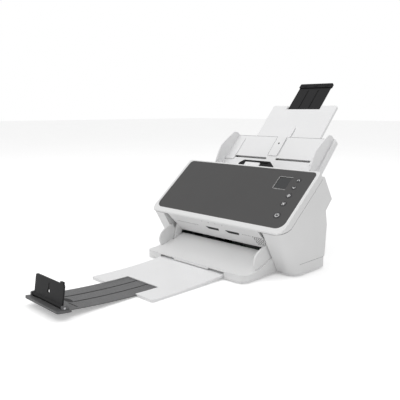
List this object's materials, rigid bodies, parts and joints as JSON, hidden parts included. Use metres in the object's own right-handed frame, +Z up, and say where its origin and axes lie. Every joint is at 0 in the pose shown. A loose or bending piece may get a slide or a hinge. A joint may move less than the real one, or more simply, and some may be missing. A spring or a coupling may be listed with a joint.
{
  "type": "sheet fed document scanner",
  "caption": "Desktop sheet fed document scanner with an opening cover, extending input and output trays, side guides and control buttons.",
  "frame": {"origin": "middle of the footprint (with both trays out), on the table", "axes": "+X to the right as seen from the front, -Y towards the output tray, +Z up"},
  "size_m": [0.312, 0.6531, 0.3241],
  "materials": {
    "white_abs": "satin",
    "white_tray": "satin",
    "dark_panel": "satin",
    "dark_plastic": "satin",
    "grey_plastic": "satin",
    "black_plastic": "matte",
    "inner_grey": "matte",
    "foot_rubber": "matte",
    "roller_rubber": "matte",
    "steel": "brushed",
    "sheet_steel": "brushed",
    "bushing_plastic": "satin",
    "scan_glass": "clear",
    "display_glass": "clear",
    "circuit_board": "satin",
    "belt_rubber": "matte",
    "port_metal": "brushed",
    "button_plastic": "satin"
  },
  "bodies": {
    "base": {"base_pan": "white_abs", "rubber_feet": "foot_rubber", "left_side_cover": "white_abs", "right_side_cover": "white_abs", "rear_cover": "white_abs", "chin_shell": "white_abs", "output_deck": "white_abs", "hinge_pins": "steel", "tray_rails": "inner_grey", "left_frame_plate": "sheet_steel", "right_frame_plate": "sheet_steel", "roller_bushings": "bushing_plastic", "lower_guide": "inner_grey", "lower_scan_module": "black_plastic", "lower_scan_glass": "scan_glass", "drive_motor": "steel", "drive_belt": "belt_rubber", "main_board": "circuit_board", "power_jack": "black_plastic", "usb_port": "port_metal", "input_tray_front": "white_tray", "input_tray_back": "white_tray", "pan_screws": "steel"},
    "cover": {"cover_bezel": "white_abs", "front_panel": "dark_panel", "display_window": "display_glass", "control_board": "circuit_board", "cover_face": "white_abs", "cover_frame": "white_abs", "upper_scan_module": "black_plastic", "upper_scan_glass": "scan_glass", "gap_surround": "black_plastic"},
    "gap_tab": {"gap_tab": "white_tray"},
    "button_up": {"button_up": "button_plastic"},
    "button_down": {"button_down": "button_plastic"},
    "button_start": {"button_start": "button_plastic"},
    "button_cancel": {"button_cancel": "button_plastic"},
    "button_power": {"button_power": "button_plastic"},
    "separation_roller": {"separation_roller": "roller_rubber"},
    "upper_drive_idler": {"upper_drive_idler": "roller_rubber"},
    "upper_exit_idler": {"upper_exit_idler": "roller_rubber"},
    "feed_roller": {"feed_shaft": "steel", "feed_tyres": "roller_rubber"},
    "drive_roller": {"drive_shaft": "steel", "drive_tyres": "roller_rubber"},
    "exit_roller": {"exit_shaft": "steel", "exit_tyres": "roller_rubber"},
    "motor_pulley": {"motor_pulley": "steel"},
    "output_extender": {"output_extender": "white_tray"},
    "output_extension": {"output_extension": "grey_plastic", "stop_pin": "steel"},
    "output_stop": {"output_stop": "dark_plastic"},
    "right_guide": {"right_guide": "white_tray", "right_rack": "black_plastic"},
    "left_guide": {"left_guide": "white_tray", "left_rack": "black_plastic"},
    "guide_pinion": {"guide_pinion": "bushing_plastic"},
    "input_extender": {"input_extender": "white_tray"},
    "input_extension": {"input_extension": "dark_plastic", "input_end_bar": "black_plastic"}
  },
  "joints": [
    {"name": "cover_open", "type": "hinge", "parent": "base", "child": "cover", "pos_m": [0, 0.022, 0.023], "axis": [1, 0, 0], "range_deg": [0, 50]},
    {"name": "gap_release", "type": "slide", "parent": "cover", "child": "gap_tab", "axis": [0, -0.6871, -0.7266], "range_m": [0, 0.004], "stiffness_N_per_m": 300},
    {"name": "separation_spin", "type": "hinge", "parent": "cover", "child": "separation_roller", "pos_m": [0, 0.10908, 0.1289], "axis": [1, 0, 0], "continuous": true},
    {"name": "upper_drive_idler_spin", "type": "hinge", "parent": "cover", "child": "upper_drive_idler", "pos_m": [0, 0.09789, 0.1092], "axis": [1, 0, 0], "continuous": true},
    {"name": "upper_exit_idler_spin", "type": "hinge", "parent": "cover", "child": "upper_exit_idler", "pos_m": [0, 0.04589, 0.05378], "axis": [1, 0, 0], "continuous": true},
    {"name": "feed_spin", "type": "hinge", "parent": "base", "child": "feed_roller", "pos_m": [0, 0.12361, 0.11516], "axis": [1, 0, 0], "continuous": true},
    {"name": "drive_spin", "type": "hinge", "parent": "base", "child": "drive_roller", "pos_m": [0, 0.10762, 0.1], "axis": [1, 0, 0], "continuous": true},
    {"name": "exit_spin", "type": "hinge", "parent": "base", "child": "exit_roller", "pos_m": [0, 0.05468, 0.04546], "axis": [1, 0, 0], "continuous": true},
    {"name": "motor_spin", "type": "hinge", "parent": "base", "child": "motor_pulley", "pos_m": [0, 0.1, 0.044], "axis": [1, 0, 0], "continuous": true},
    {"name": "output_extender_slide", "type": "hinge", "parent": "base", "child": "output_extender", "pos_m": [0, -0.153, 1.3039], "axis": [1, 0, 0], "range_deg": [0, 5.51]},
    {"name": "output_extension_slide", "type": "hinge", "parent": "output_extender", "child": "output_extension", "pos_m": [0, -0.153, 1.3039], "axis": [1, 0, 0], "range_deg": [0, 4.67]},
    {"name": "output_stop_fold", "type": "hinge", "parent": "output_extension", "child": "output_stop", "pos_m": [0, -0.313, 0.0156], "axis": [-1, 0, 0], "range_deg": [0, 84]},
    {"name": "right_guide_slide", "type": "slide", "parent": "base", "child": "right_guide", "axis": [-1, 0, 0], "range_m": [0, 0.075]},
    {"name": "left_guide_slide", "type": "slide", "parent": "base", "child": "left_guide", "axis": [1, 0, 0], "range_m": [0, 0.075]},
    {"name": "guide_pinion_spin", "type": "hinge", "parent": "base", "child": "guide_pinion", "pos_m": [0, 0.17546, 0.17348], "axis": [0, -0.7266, 0.6871], "range_deg": [0, 410]},
    {"name": "input_extender_slide", "type": "slide", "parent": "base", "child": "input_extender", "axis": [0, -0.6871, -0.7266], "range_m": [0, 0.081]},
    {"name": "input_extension_slide", "type": "slide", "parent": "input_extender", "child": "input_extension", "axis": [0, -0.6871, -0.7266], "range_m": [0, 0.06]},
    {"name": "button_up_press", "type": "slide", "parent": "cover", "child": "button_up", "axis": [0, 0.6381, -0.77], "range_m": [0, 0.0008], "stiffness_N_per_m": 400},
    {"name": "button_down_press", "type": "slide", "parent": "cover", "child": "button_down", "axis": [0, 0.6381, -0.77], "range_m": [0, 0.0008], "stiffness_N_per_m": 400},
    {"name": "button_start_press", "type": "slide", "parent": "cover", "child": "button_start", "axis": [0, 0.6381, -0.77], "range_m": [0, 0.0008], "stiffness_N_per_m": 400},
    {"name": "button_cancel_press", "type": "slide", "parent": "cover", "child": "button_cancel", "axis": [0, 0.6381, -0.77], "range_m": [0, 0.0008], "stiffness_N_per_m": 400},
    {"name": "button_power_press", "type": "slide", "parent": "cover", "child": "button_power", "axis": [0, 0.6381, -0.77], "range_m": [0, 0.0008], "stiffness_N_per_m": 400}
  ],
  "couplings": [
    {"joint": "drive_spin", "follows": "feed_spin", "ratio": 0.83333},
    {"joint": "exit_spin", "follows": "feed_spin", "ratio": 0.83333},
    {"joint": "motor_spin", "follows": "feed_spin", "ratio": 1.087},
    {"joint": "left_guide_slide", "follows": "right_guide_slide", "ratio": 1},
    {"joint": "guide_pinion_spin", "follows": "right_guide_slide", "rad_per_m": 95.238}
  ]
}
